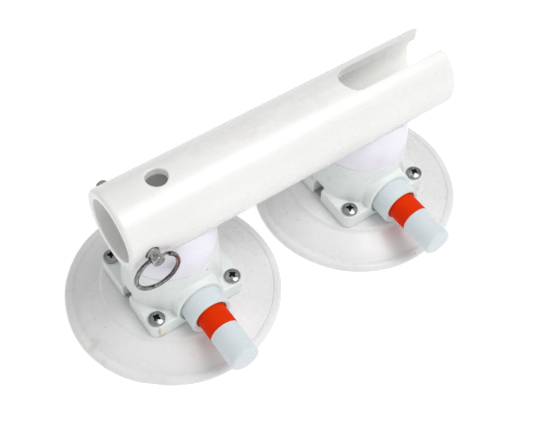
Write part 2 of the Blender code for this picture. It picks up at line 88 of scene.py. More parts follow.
TUBE_AT = middle("tube")
TUBE_X0 = low("tube")[0]
TUBE_X1 = high("tube")[0]
TUBE_R = (high("tube")[1] - low("tube")[1]) / 2
TUBE_BORE_R = TUBE_R - 4.85
PIN_AT = middle("cross_pin")
PIN_R = (high("cross_pin")[0] - low("cross_pin")[0]) / 2
CUP_Y = middle("left_saddle")[1]
PUMP_Z = middle("left_plunger")[2]
BASE_Z0 = low("left_housing")[2]
TOWER_TOP = high("left_housing")[2]
BASE_HALF = (high("left_housing")[0] - low("left_housing")[0]) / 2
EAR_TOP = BASE_Z0 + 9.0
SCREW_SEAT = EAR_TOP + 0.3


def cup_x(side):
    return middle(side + "_cup_pad")[0]


# --- solids as distance fields ------------------------------------------------------------------
# A field is a function of x, y and z that is negative inside the solid and gives a distance in mm.

def both(a, b, edge=0.0):
    """Intersection of two fields, with its edge rounded."""
    if edge == 0.0:
        return np.maximum(a, b)
    corner = np.hypot(np.maximum(a + edge, 0), np.maximum(b + edge, 0))
    return np.minimum(np.maximum(a, b), -edge) + corner


def either(a, b, fillet=0.0):
    """Union of two fields, with a fillet where they meet."""
    return -both(-a, -b, fillet)


def cut(a, b, edge=0.0):
    return both(a, -b, edge)


def rod(a, b, radius):
    """A round rod that runs along the third axis for ever."""
    return np.hypot(a, b) - radius


def square(a, b, half, corner_r):
    """A square bar with rounded corners that runs along the third axis for ever."""
    over_a = np.abs(a) - half + corner_r
    over_b = np.abs(b) - half + corner_r
    outside = np.hypot(np.maximum(over_a, 0), np.maximum(over_b, 0))
    return outside + np.minimum(np.maximum(over_a, over_b), 0) - corner_r


def hexagon(a, b, radius):
    walls = [a * cos(turn) + b * sin(turn) for turn in (0, pi / 3, 2 * pi / 3)]
    return np.maximum.reduce([np.abs(wall) for wall in walls]) - radius


def steepness(field, points):
    """Gradient of a field at each point."""
    step = 0.02
    slopes = []
    for axis in range(3):
        ahead = [points[:, k] + (step if k == axis else 0.0) for k in range(3)]
        behind = [points[:, k] - (step if k == axis else 0.0) for k in range(3)]
        slopes.append((field(*ahead) - field(*behind)) / (2 * step))
    return np.stack(slopes, 1)


CELL_CORNERS = [(i, j, k) for i in (0, 1) for j in (0, 1) for k in (0, 1)]
CELL_EDGES = [(a, b) for a in CELL_CORNERS for b in CELL_CORNERS
              if a < b and sum(abs(a[n] - b[n]) for n in range(3)) == 1]


def field_mesh(name, field, start, end, step):
    """Mesh of a field's zero surface inside a box: one point for each cell that it crosses."""
    step = np.broadcast_to(np.array(step, float), 3)
    start = np.array(start, float) - 1.37 * step
    count = np.ceil((np.array(end, float) + 1.37 * step - start) / step).astype(int) + 1
    axes = [start[n] + step[n] * np.arange(count[n]) for n in range(3)]
    grid = np.meshgrid(*axes, indexing="ij", sparse=True)
    value = np.broadcast_to(field(*grid), count)
    inside = value < 0

    cells = tuple(count - 1)
    filled = np.zeros(cells, int)
    for i, j, k in CELL_CORNERS:
        filled += inside[i:i + cells[0], j:j + cells[1], k:k + cells[2]]
    crossed = (filled > 0) & (filled < 8)
    number = np.full(cells, -1)
    number[crossed] = np.arange(np.count_nonzero(crossed))
    at = np.argwhere(crossed)

    total = np.zeros((len(at), 3))
    hits = np.zeros(len(at))
    for first, second in CELL_EDGES:
        a = value[tuple((at + first).T)]
        b = value[tuple((at + second).T)]
        crosses = (a < 0) != (b < 0)
        share = np.where(crosses, a / np.where(crosses, a - b, 1), 0)
        spot = np.array(first) + share[:, None] * (np.array(second) - np.array(first))
        total += spot * crosses[:, None]
        hits += crosses
    points = start + (at + total / hits[:, None]) * step

    for _ in range(3):              # draw each point onto the true surface
        slope = steepness(field, points)
        size = np.maximum((slope ** 2).sum(1), 0.2)
        shift = -(field(*points.T) / size)[:, None] * slope
        points = points + np.clip(shift, -0.3 * step, 0.3 * step)

    quads = []
    for axis in range(3):
        u, v = [n for n in range(3) if n != axis]
        ahead = np.roll(inside, -1, axis)
        change = inside != ahead
        keep = [slice(1, -1)] * 3
        keep[axis] = slice(0, count[axis] - 1)
        spots = np.argwhere(change[tuple(keep)])
        spots[:, u] += 1
        spots[:, v] += 1
        ring = []
        for du, dv in ((0, 0), (-1, 0), (-1, -1), (0, -1)):
            cell = spots.copy()
            cell[:, u] += du
            cell[:, v] += dv
            ring.append(number[tuple(cell.T)])
        quad = np.stack(ring, 1)
        outward = inside[tuple(spots.T)] == (axis != 1)
        quad[~outward] = quad[~outward][:, ::-1]
        quads.append(quad)
    faces = np.concatenate(quads)

    mesh = bpy.data.meshes.new(name)
    mesh.vertices.add(len(points))
    mesh.vertices.foreach_set("co", (points * MM).astype(np.float32).ravel())
    mesh.loops.add(faces.size)
    mesh.loops.foreach_set("vertex_index", faces.astype(np.int32).ravel())
    mesh.polygons.add(len(faces))
    mesh.polygons.foreach_set("loop_start", np.arange(0, faces.size, 4, dtype=np.int32))
    mesh.update(calc_edges=True)
    mesh.validate()
    mesh.shade_smooth()
    slope = steepness(field, points)
    slope /= np.maximum(np.linalg.norm(slope, axis=1), 1e-6)[:, None]
    mesh.normals_split_custom_set_from_vertices(slope.tolist())
    return mesh


# --- turned and swept meshes --------------------------------------------------------------------

def soft_profile(corners, closed=False, steps=5):
    """Round the corners of a profile of (radius, height, rounding) points."""
    count = len(corners)
    points = []
    for i, (r, h, rounding) in enumerate(corners):
        ends = not closed and i in (0, count - 1)
        if rounding == 0 or ends:
            points.append((r, h))
            continue
        here = Vector((r, h))
        back = (Vector(corners[i - 1][:2]) - here).normalized()
        on = (Vector(corners[(i + 1) % count][:2]) - here).normalized()
        half = back.angle(on) / 2
        reach = rounding / tan(half)
        centre = here + (back + on).normalized() * (rounding / sin(half))
        first = here + back * reach - centre
        last = here + on * reach - centre
        for k in range(steps + 1):
            direction = first.slerp(last, k / steps) if first.angle(last) > 1e-4 else first
            spot = centre + direction.normalized() * rounding
            points.append((spot.x, spot.y))
    return points


def turned_mesh(name, profile, sides=128, closed=False, warp=None):
    """Spin a profile of (radius, height) points about Z. Warp moves a point by its place."""
    bm = bmesh.new()
    rings = []
    for r, h in profile:
        if r < 1e-6:
            rings.append([bm.verts.new((0, 0, h))])
            continue
        turn = [2 * pi * i / sides for i in range(sides)]
        spots = [Vector((r * cos(a), r * sin(a), h)) for a in turn]
        rings.append([bm.verts.new(warp(spot) if warp else spot) for spot in spots])
    pairs = list(zip(rings, rings[1:]))
    if closed:
        pairs.append((rings[-1], rings[0]))
    for below, above in pairs:
        for i in range(sides):
            j = (i + 1) % sides
            if len(below) == 1:
                bm.faces.new((below[0], above[i], above[j]))
            elif len(above) == 1:
                bm.faces.new((below[i], below[j], above[0]))
            else:
                bm.faces.new((below[i], below[j], above[j], above[i]))
    return shaded(name, bm)


def shaded(name, bm):
    """A mesh in metres from one in mm, smooth but for its sharp edges."""
    bmesh.ops.recalc_face_normals(bm, faces=bm.faces)
    bmesh.ops.scale(bm, verts=bm.verts, vec=(MM, MM, MM))
    mesh = bpy.data.meshes.new(name)
    bm.to_mesh(mesh)
    bm.free()
    mesh.shade_smooth()
    mesh.set_sharp_from_angle(angle=radians(38))
    return mesh


def swept_mesh(name, points, section, across):
    """Sweep a closed section of (u, v) points along a path. Across gives v's direction at a point."""
    bm = bmesh.new()
    rings = []
    for i, point in enumerate(points):
        before = points[max(i - 1, 0)]
        after = points[min(i + 1, len(points) - 1)]
        heading = (after - before).normalized()
        v = across(i)
        u = heading.cross(v).normalized()
        v = u.cross(heading)
        rings.append([bm.verts.new(point + a * u + b * v) for a, b in section])
    count = len(section)
    for one, two in zip(rings, rings[1:]):
        for k in range(count):
            m = (k + 1) % count
            bm.faces.new((one[k], one[m], two[m], two[k]))
    bm.faces.new(list(reversed(rings[0])))
    bm.faces.new(rings[-1])
    return shaded(name, bm)


def piece(name, mesh, body, nodes, look, place=(0, 0, 0), turn=None):
    """Show a mesh in place of CAD nodes, riding on their body, with the given look."""
    obj = bpy.data.objects.new(name, mesh)
    bpy.context.scene.collection.objects.link(obj)
    matrix = Matrix.Translation(Vector(place) * MM)
    if turn is not None:
        matrix = matrix @ turn.to_4x4()
    obj.matrix_world = matrix
    if not mesh.materials:
        mesh.materials.append(look)
    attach(obj, body)
    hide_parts(*nodes)
    return obj


ALONG_Y = Matrix.Rotation(radians(-90), 3, "X")     # a turned piece's height becomes +Y


# --- surfaces -----------------------------------------------------------------------------------

def tone(red, green, blue):
    """Linear colour from the 0 to 255 values of a display colour."""
    shares = [value / 255 for value in (red, green, blue)]
    linear = [s / 12.92 if s <= 0.04045 else ((s + 0.055) / 1.055) ** 2.4 for s in shares]
    return (*linear, 1.0)


class Surface:
    """One procedural material, with short calls for the nodes that it needs."""

    def __init__(self, name, **values):
        self.material = bpy.data.materials.new(name)
        self.material.use_nodes = True
        self.tree = self.material.node_tree
        self.shader = self.tree.nodes["Principled BSDF"]
        self.place = self.node("ShaderNodeTexCoord").outputs["Object"]
        for key, value in values.items():
            self.shader.inputs[key.replace("_", " ")].default_value = value

    def node(self, kind, inputs=None, **settings):
        made = self.tree.nodes.new(kind)
        for key, value in settings.items():
            setattr(made, key, value)
        for key, value in (inputs or {}).items():
            self.feed(made.inputs[key], value)
        return made

    def feed(self, socket, value):
        if isinstance(value, bpy.types.NodeSocket):
            self.tree.links.new(value, socket)
        else:
            socket.default_value = value

    def stretched(self, scale):
        made = self.node("ShaderNodeMapping", {"Vector": self.place, "Scale": scale})
        return made.outputs["Vector"]

    def noise(self, scale, detail=4.0, rough=0.55, where=None):
        inputs = {"Vector": where or self.place, "Scale": scale, "Detail": detail, "Roughness": rough}
        return self.node("ShaderNodeTexNoise", inputs).outputs["Fac"]

    def cells(self, scale):
        made = self.node("ShaderNodeTexVoronoi", {"Vector": self.place, "Scale": scale})
        return made.outputs["Distance"]

    def between(self, value, start, end, out_start=0.0, out_end=1.0):
        """Map a value from one span to another, smoothly and clamped."""
        made = self.node("ShaderNodeMapRange", interpolation_type="SMOOTHSTEP")
        spans = (start, end, out_start, out_end)
        for key, number in zip(("From Min", "From Max", "To Min", "To Max"), spans):
            made.inputs[key].default_value = number
        self.feed(made.inputs["Value"], value)
        return made.outputs["Result"]

    def math(self, how, a, b=0.0):
        made = self.node("ShaderNodeMath", operation=how)
        self.feed(made.inputs[0], a)
        self.feed(made.inputs[1], b)
        return made.outputs[0]

    def mixed(self, share, a, b):
        made = self.node("ShaderNodeMix", data_type="RGBA")
        self.feed(made.inputs["Factor"], share)
        self.feed(made.inputs["A"], a)
        self.feed(made.inputs["B"], b)
        return made.outputs["Result"]

    def away(self, spot, stretch=(1, 1, 1)):
        """Distance from a place in mm, in metres, with each axis stretched."""
        shifted = self.node("ShaderNodeVectorMath", {0: self.place}, operation="SUBTRACT")
        shifted.inputs[1].default_value = Vector(spot) * MM
        sized = self.node("ShaderNodeVectorMath", {0: shifted.outputs[0]}, operation="MULTIPLY")
        sized.inputs[1].default_value = stretch
        length = self.node("ShaderNodeVectorMath", {0: sized.outputs[0]}, operation="LENGTH")
        return length.outputs["Value"]

    def near(self, spot, stretch, radius, wobble=0.35, scale=300.0):
        """A soft-edged patch round a place in mm, 1 in its middle and 0 outside its radius."""
        ragged = self.math("SUBTRACT", self.noise(scale, 3.0), 0.5)
        ragged = self.math("MULTIPLY", ragged, 2 * wobble * radius * MM)
        distance = self.math("ADD", self.away(spot, stretch), ragged)
        return self.between(distance, 0.35 * radius * MM, radius * MM, 1.0, 0.0)

    def stain(self, colour, share, patch, shade):
        return self.mixed(self.math("MULTIPLY", patch, share), colour, shade)

    def bump(self, height, depth, under=None):
        """Relief whose full height is depth mm."""
        made = self.node("ShaderNodeBump", {"Height": height, "Distance": depth * MM, "Strength": 1.0})
        if under is not None:
            self.feed(made.inputs["Normal"], under)
        return made.outputs["Normal"]

    def finish(self, colour=None, rough=None, normal=None):
        for key, value in (("Base Color", colour), ("Roughness", rough), ("Normal", normal)):
            if value is not None:
                self.feed(self.shader.inputs[key], value)
        return self.material


def moulded(name, light, dark, rough, grain=0.012, specks=0.25, wave=0.03, patchy=0.07, **values):
    """Moulded plastic or rubber: faint clouding, fine grain, small specks and uneven gloss."""
    s = Surface(name, **values)
    cloud = s.between(s.noise(34.0, 5.0, 0.6), 0.38, 0.68)
    colour = s.mixed(cloud, light, dark)
    # Small specks of real dirt.
    dirt_and_recess_shade = s.between(s.noise(900.0, 2.0, 0.5), 0.70, 0.80)
    colour = s.stain(colour, specks, dirt_and_recess_shade, tone(150, 146, 138))
    gloss = s.between(s.noise(120.0, 5.0, 0.65), 0.3, 0.7, rough - patchy, rough + patchy)
    soft = s.bump(s.noise(55.0, 2.0), wave)
    fine = s.bump(s.noise(1400.0, 2.0), grain, soft)
    return s, colour, gloss, fine


def pvc():
    """White extruded pipe: long faint die lines, scuffs along its length, old glue-brown stains, and a
    bore painted lighter as painted light.
    """
    s, colour, gloss, normal = moulded("pvc_pipe", tone(244, 244, 243), tone(241, 241, 239), 0.28,
                                       grain=0.010, specks=0.05, wave=0.015, patchy=0.03)
    streaks = s.between(s.noise(60.0, 4.0, 0.6, s.stretched((0.04, 1.0, 1.0))), 0.52, 0.78)
    colour = s.stain(colour, 0.20, streaks, tone(226, 224, 218))
    yellow = s.between(s.noise(26.0, 4.0, 0.65, s.stretched((0.20, 1.6, 1.6))), 0.56, 0.72)
    colour = s.stain(colour, 0.10, yellow, tone(226, 216, 190))
    for x, across, size, share in ((-20.0, 3.0, 11.0, 0.10), (12.0, -3.0, 10.0, 0.07),
                                   (30.0, 2.0, 9.0, 0.08), (-52.0, 8.0, 7.0, 0.05)):
        patch = s.near((x, across, TUBE_R), (0.35, 1.8, 1.0), size, 1.2, 260.0)
        colour = s.stain(colour, share, patch, tone(190, 174, 140))
    spots = s.between(s.cells(210.0), 0.05, 0.10, 1.0, 0.0)
    rare = s.between(s.noise(70.0, 1.0), 0.64, 0.70)
    colour = s.stain(colour, 0.25, s.math("MULTIPLY", spots, rare), tone(150, 138, 116))
    # Painted light: the bore is painted lighter than the outside, standing in for light bounced round
    # inside the pipe.
    from_axis = s.away((0, 0, 0), (0, 1, 1))
    inside = s.between(from_axis, (TUBE_BORE_R + 0.3) * MM, (TUBE_BORE_R + 1.5) * MM, 1.0, 0.0)
    colour = s.mixed(inside, colour, tone(251, 251, 249))
    lines = s.noise(260.0, 3.0, 0.6, s.stretched((0.02, 1.0, 1.0)))
    normal = s.bump(lines, 0.02, normal)
    scratches = s.between(s.noise(420.0, 2.0, 0.5, s.stretched((0.05, 1.0, 1.0))), 0.62, 0.72)
    gloss = s.math("ADD", gloss, s.math("MULTIPLY", scratches, 0.14))
    return s.finish(colour, gloss, normal)


def rubber_pad(side):
    """White rubber with a dull sheen, handling marks and a little dirt near its rim."""
    s, colour, gloss, normal = moulded(side + "_white_rubber", tone(236, 236, 236), tone(229, 229, 229),
                                       0.30, grain=0.02, specks=0.35, wave=0.10)
    smudge = s.between(s.noise(45.0, 6.0, 0.7), 0.55, 0.75)
    colour = s.stain(colour, 0.30, smudge, tone(205, 203, 199))
    spots = s.between(s.cells(150.0), 0.04, 0.09, 1.0, 0.0)
    rare = s.between(s.noise(60.0, 1.0), 0.56, 0.62)
    colour = s.stain(colour, 0.55, s.math("MULTIPLY", spots, rare), tone(150, 140, 128))
    if side == "left":
        for spot, size, share in (((-50.5, -6.5, 4.5), 3.6, 0.13), ((-53.5, -9.5, 4.0), 2.6, 0.16),
                                  ((-52.5, -19.0, 4.0), 2.2, 0.10)):
            patch = s.near(spot, (1.0, 1.0, 0.6), size, 1.0, 420.0)
            colour = s.stain(colour, share, patch, tone(172, 148, 104))
    return s.finish(colour, gloss, normal)


def housing_plastic(side):
    """Cool white moulding, with a rust run below one screw, a speck on the tower and painted shade deep
    in the notch.
    """
    s, colour, gloss, normal = moulded(side + "_tower_plastic", tone(236, 241, 239), tone(230, 235, 233),
                                       0.32, grain=0.012, specks=0.20)
    if side == "left":
        run = s.near((-23.9, -27.0, 17.6), (2.0, 1.0, 0.40), 2.0, 0.4, 500.0)
        foot = s.near((-22.6, -27.3, BASE_Z0 + 0.8), (0.55, 1.0, 1.3), 1.7, 0.4, 500.0)
        colour = s.stain(colour, 0.75, s.math("MAXIMUM", run, foot), tone(198, 172, 118))
        speck = s.near((7.5, -23.6, 42.0), (1.0, 0.6, 1.0), 0.8, 0.3, 900.0)
        colour = s.stain(colour, 0.8, speck, tone(120, 96, 72))
    # Painted shade: a dark blue-grey patch at the notch's inner end stands in for the shade deep in the
    # notch.
    notch_shade = s.near((-21.3, 0.0, 18.4), (1.0, 0.85, 0.75), 3.9, 0.25, 300.0)
    colour = s.stain(colour, 0.92, notch_shade, tone(58, 60, 74))
    return s.finish(colour, gloss, normal)


def saddle_plastic():
    s, colour, gloss, normal = moulded("saddle_plastic_white", tone(241, 240, 249), tone(236, 235, 246),
                                       0.22, grain=0.006, specks=0.10)
    return s.finish(colour, gloss, normal)


def pump_plastic():
    """Pale blue-grey acetal, with faint rub lines along the stroke."""
    s, colour, gloss, normal = moulded("pump_acetal", tone(219, 227, 230), tone(213, 221, 225),
                                       0.30, grain=0.008, specks=0.12)
    rub = s.between(s.noise(500.0, 3.0, 0.5, s.stretched((1.0, 1.0, 0.03))), 0.55, 0.75)
    gloss = s.math("ADD", gloss, s.math("MULTIPLY", rub, 0.10))
    return s.finish(colour, gloss, normal)


def orange_band():
    s, colour, gloss, normal = moulded("warning_orange", tone(229, 52, 0), tone(223, 44, 0),
                                       0.55, grain=0.008, specks=0.04, Specular_IOR_Level=0.05)
    return s.finish(colour, gloss, normal)


def worn_steel(name, light, dark, rough, brushed=(1.0, 1.0, 1.0), recess=False):
    """Bare steel with tarnish clouds, fine scratches and pits. A screw's recess is painted near black as
    painted shade.
    """
    s = Surface(name, Metallic=1.0)
    cloud = s.between(s.noise(420.0, 5.0, 0.65), 0.35, 0.7)
    colour = s.mixed(cloud, light, dark)
    pits = s.between(s.noise(2600.0, 2.0), 0.62, 0.74)
    colour = s.stain(colour, 0.45, pits, tone(70, 62, 56))
    scratch = s.noise(2200.0, 3.0, 0.6, s.stretched(brushed))
    gloss = s.between(scratch, 0.3, 0.7, rough - 0.08, rough + 0.14)
    if recess:
        # Painted shade: the cross recess below the crown is painted near black, for the shade inside it.
        below_crown = s.between(s.away((0, 0, HEAD_TOP - CROWN_R)), (CROWN_R - 0.5) * MM,
                                (CROWN_R - 0.12) * MM, 1.0, 0.0)
        inward = s.between(s.away((0, 0, 0), (1, 1, 0)), 2.6 * MM, 3.0 * MM, 1.0, 0.0)
        dirt_and_recess_shade = s.math("MULTIPLY", below_crown, inward)
        colour = s.stain(colour, 0.96, dirt_and_recess_shade, tone(47, 50, 53))
        gloss = s.math("ADD", gloss, s.math("MULTIPLY", dirt_and_recess_shade, 0.4))
    return s.finish(colour, gloss, s.bump(scratch, 0.01))


def dark_rubber(name, shade=(22, 22, 23)):
    s = Surface(name)
    light = tone(*[value + 10 for value in shade])
    colour = s.mixed(s.between(s.noise(300.0, 4.0), 0.35, 0.7), tone(*shade), light)
    gloss = s.between(s.noise(500.0, 3.0), 0.3, 0.7, 0.48, 0.66)
    return s.finish(colour, gloss, s.bump(s.noise(1500.0, 2.0), 0.02))


def inner_plastic():
    s, colour, gloss, normal = moulded("inner_nylon", tone(148, 150, 152), tone(136, 138, 140), 0.45)
    return s.finish(colour, gloss, normal)


SCREW_LENGTH = 15.3         # under its head
SCREW_PITCH = 1.05
HEAD_R = 4.25               # a screw's head
HEAD_TOP = 2.4              # its height above its seat
CROWN_R = 7.35              # radius of its domed top

LOOKS = {
    "tube": pvc(),
    "left_pad": rubber_pad("left"),
    "right_pad": rubber_pad("right"),
    "left_housing": housing_plastic("left"),
    "right_housing": housing_plastic("right"),
    "saddle": saddle_plastic(),
    "pump": pump_plastic(),
    "band": orange_band(),
    "screw": worn_steel("screw_steel", tone(168, 168, 168), tone(132, 133, 136), 0.22, recess=True),
    "pin": worn_steel("pin_steel", tone(190, 188, 184), tone(140, 138, 136), 0.12, (1.0, 0.1, 1.0)),
    "ring": worn_steel("ring_steel", tone(158, 157, 159), tone(84, 84, 88), 0.16),
    "hidden_steel": worn_steel("plated_steel", tone(188, 188, 186), tone(160, 160, 158), 0.30),
    "brass": worn_steel("turned_brass", tone(214, 178, 104), tone(184, 146, 78), 0.30),
    "seal": dark_rubber("seal_black"),
    "gasket": dark_rubber("gasket_grey", (168, 170, 170)),
    "inner": inner_plastic(),
}


# --- tube, pin and ring -------------------------------------------------------------------------

ACCESS_X = -62.9
ACCESS_R = 5.3
SLOT_HALF = 8.5
SLOT_ROUND_X = TUBE_X1 - 50.2       # centre of the slot's round inner end
SLOT_FRONT_R = 4.0                  # corners of the slot's mouth, seen from above
SLOT_BACK_R = 5.0
TOP_CUT_Y = 0.8                     # the cuts in the tube's top are not quite opposite its bolts
PIN_HOLE_R = 3.4
RING_HOLE_R = 1.6
BOLT_HOLE_R = 3.6


def tube_field(x, y, z):
    """The pipe with its access hole and open slot on top, a pin hole across it and two bolt holes."""
    radius = np.hypot(y, z)
    solid = both(radius - TUBE_R, TUBE_X0 - x, 2.0)
    solid = both(solid, x - TUBE_X1, 0.7)
    bore = both(both(TUBE_BORE_R - radius, TUBE_X0 - x, 0.9), x - TUBE_X1, 0.4)
    solid = both(solid, bore)
    cut_y = y - TOP_CUT_Y
    solid = cut(solid, both(rod(x - ACCESS_X, cut_y, ACCESS_R), -z), 0.9)
    inner_end = np.where(x > SLOT_ROUND_X, np.abs(cut_y), np.hypot(x - SLOT_ROUND_X, cut_y)) - SLOT_HALF
    back = both(x - TUBE_X1, SLOT_HALF - cut_y, SLOT_BACK_R)
    front = both(x - TUBE_X1, SLOT_HALF + cut_y, SLOT_FRONT_R)
    mouth = -np.where(cut_y > 0, back, front)
    slot = np.where(x > TUBE_X1 - 2 * SLOT_BACK_R, mouth, inner_end)
    solid = cut(solid, both(slot, -z), 0.45)
    solid = cut(solid, rod(x - PIN_AT[0], z, PIN_HOLE_R), 0.3)
    for side in SIDES:
        solid = cut(solid, both(rod(x - cup_x(side), y, BOLT_HOLE_R), z), 0.3)
    return solid


def make_tube():
    start = (TUBE_X0, -TUBE_R, -TUBE_R)
    end = (TUBE_X1, TUBE_R, TUBE_R)
    mesh = field_mesh("tube_shell", tube_field, start, end, (0.9, 0.55, 0.55))
    piece("tube_body", mesh, "frame", ["tube"], LOOKS["tube"], (0, CUP_Y, TUBE_AT[2]))


PIN_Y0 = low("cross_pin")[1] - PIN_AT[1]
PIN_Y1 = high("cross_pin")[1] - PIN_AT[1]
RING_AT = middle("split_ring")
RING_HOLE_Y = RING_AT[1] - PIN_AT[1]
BALL_AT = middle("detent_ball")


def pin_field(x, y, z):
    """A straight pin with the ring's cross hole at one end and the ball's pocket at the other."""
    solid = both(rod(x, z, PIN_R), PIN_Y0 - y, 0.5)
    solid = both(solid, y - PIN_Y1, 1.2)
    solid = cut(solid, rod(y - RING_HOLE_Y, z, RING_HOLE_R), 0.3)
    pocket = both(rod(x, y - (BALL_AT[1] - PIN_AT[1]), 1.25), z - 1.8)
    return cut(solid, pocket, 0.12)


def make_pin():
    mesh = field_mesh("pin_shape", pin_field, (-PIN_R, PIN_Y0, -PIN_R), (PIN_R, PIN_Y1, PIN_R), 0.22)
    piece("detent_pin", mesh, "pin", ["cross_pin"], LOOKS["pin"], PIN_AT)


RING_OUTER_R = float(high("split_ring")[0] - low("split_ring")[0]) / 2
RING_HALF_Y = float(high("split_ring")[1] - low("split_ring")[1]) / 2


def make_ring():
    """Two turns of flattened wire that step across to each other where the wire ends meet."""
    wire_wide = 2.0                  # in the ring's plane
    wire_thick = RING_HALF_Y - 0.06  # along the ring's axis
    mid_r = RING_OUTER_R - wire_wide / 2
    shift = RING_HALF_Y - wire_thick / 2
    start = radians(38)              # the near wire end, from the top, towards +X
    step_span = radians(24)
    total = 4 * pi - step_span * 1.3
    steps = 300
    points = []
    for i in range(steps + 1):
        a = total * i / steps
        crossing = (a - (2 * pi - step_span * 1.15)) / step_span
        share = min(max(crossing, 0.0), 1.0)
        share = share * share * (3 - 2 * share)
        aside = -shift + 2 * shift * share
        points.append(Vector((mid_r * sin(start + a), aside, mid_r * cos(start + a))))
    section = []
    squareness = 0.72                # 1 is an ellipse and 0 a rectangle
    for k in range(20):
        a = 2 * pi * k / 20
        u = copysign(abs(cos(a)) ** squareness, cos(a)) * wire_wide / 2
        v = copysign(abs(sin(a)) ** squareness, sin(a)) * wire_thick / 2
        section.append((u, v))
    mesh = swept_mesh("ring_wire", points, section, lambda i: Vector((0, 1, 0)))
    piece("key_ring", mesh, "ring", ["split_ring"], LOOKS["ring"], RING_AT)


# --- one cup ------------------------------------------------------------------------------------

PAD_STEP_R = 37.2
PORT_R = 6.5
SCREW_AT = abs(middle("left_screw_1")[0] - middle("left_saddle")[0])
CUP_R = (high("left_cup_pad")[0] - low("left_cup_pad")[0]) / 2
PAD_TOP = high("left_cup_pad")[2]
CAP_SHIFT_X = 0.2                   # from the plunger's axis to the axis of the barrel's front
CAP_SHIFT_Z = -1.75
CAP_Y = -26.5
CAP_BACK_R = 11.1
CAP_FRONT_R = 11.3
MOUTH_R = 8.6
BARREL_R = 9.2
BARREL_BORE_R = 8.3
PLUNGER_R = (high("left_plunger")[0] - low("left_plunger")[0]) / 2
COLLAR_R = 13.6
COLLAR_Y = -27.8
CAP_SEAT_ASIDE = -0.4               # the seat in the collar, from the barrel's front, in X and in Z
SEAL_Y = -21.4
SEAL_GROOVE_R = 10.65
SEAL_GROOVE_WIDE = 1.6
CAVITY_R = 19.5                     # the hollow under the tower, and its roof
CAVITY_TOP = 37.5
INSERT_R = 5.1
INSERT_Z0 = 39.2
NOTCH_X = -21.0                     # the notch in the base's side, from here outwards
NOTCH_HALF = 3.3
NOTCH_TOP = 23.0
GASKET_HALF = 25.85                 # the recess for the gasket under the base
SPOT_FACE_R = 4.65
SADDLE_Z0 = low("left_saddle")[2]
SADDLE_TOP = high("left_saddle")[2]
SADDLE_R = 24.1
SADDLE_BEND_Z = 49.0                # above this the saddle's side curves in
BOLT_HEAD_R = 5.6
BOLT_HEAD_HIGH = 3.3
BOLT_PITCH = 1.0
BOLT_SEAT = high("left_mount_bolt")[2] - BOLT_HEAD_HIGH
BOLT_LENGTH = BOLT_SEAT - low("left_mount_bolt")[2]


def dome():
    """The rubber's upper slope, from the groove inside the rim up to the raised middle."""
    steps = 14
    foot_r, foot_z = 52.35, 3.5
    head_r, head_z = PAD_STEP_R + 1.0, 10.2
    points = []
    for i in range(steps + 1):
        t = i / steps
        rise = 1.25 * t - 0.25 * t * t
        points.append((foot_r + (head_r - foot_r) * t, foot_z + (head_z - foot_z) * rise, 0))
    return points


def pad_profile():
    rim = [(50.0, 0.0, 0.3), (CUP_R, 0.0, 0.8), (CUP_R, 3.95, 2.4), (53.3, 3.95, 0.5), (52.75, 3.25, 0.2)]
    top = [(PAD_STEP_R - 0.3, PAD_TOP, 1.6), (PORT_R, PAD_TOP, 0.3), (PORT_R, 7.5, 0.2)]
    under = [(36.1, 7.5, 0.3), (36.1, 5.0, 0.4), (44.0, 2.8, 0), (48.4, 1.2, 0.5)]
    return soft_profile(rim + dome() + top + under, closed=True)


def lip_wave(side):
    """The lip is a soft edge, so its rim waves a little; one cup has a shallow dent."""
    phase = 0.6 if side == "left" else 2.9

    def warp(spot):
        r = hypot(spot.x, spot.y)
        a = atan2(spot.y, spot.x)
        outer = max(0.0, min(1.0, (r - 47.0) / 6.0))
        wave = 0.10 * sin(5 * a + phase) + 0.06 * sin(11 * a + 2 * phase)
        dent = 0.0
        if side == "left":
            dent = 0.55 * np.exp(-((a + 2.30) / 0.10) ** 2) + 0.25 * np.exp(-((a + 2.05) / 0.12) ** 2)
        pull = 1 - outer * (0.16 + wave + dent) / max(r, 1.0)
        lift = outer * 0.12 * (wave + 0.16) * (spot.z > 0.5)
        return Vector((spot.x * pull, spot.y * pull, spot.z + lift))

    return warp


def make_pad(side, x):
    mesh = turned_mesh(side + "_pad_shape", pad_profile(), 256, closed=True, warp=lip_wave(side))
    piece(side + "_cup_rubber", mesh, "frame", [side + "_cup_pad"],
          LOOKS[side + "_pad"], (x, CUP_Y, 0))


def tower_radius(z):
    """The tower leans in slightly as it rises."""
    heights = (EAR_TOP, 31.5, 45.2)
    return np.interp(z, heights, (25.9, 25.1, 24.3))


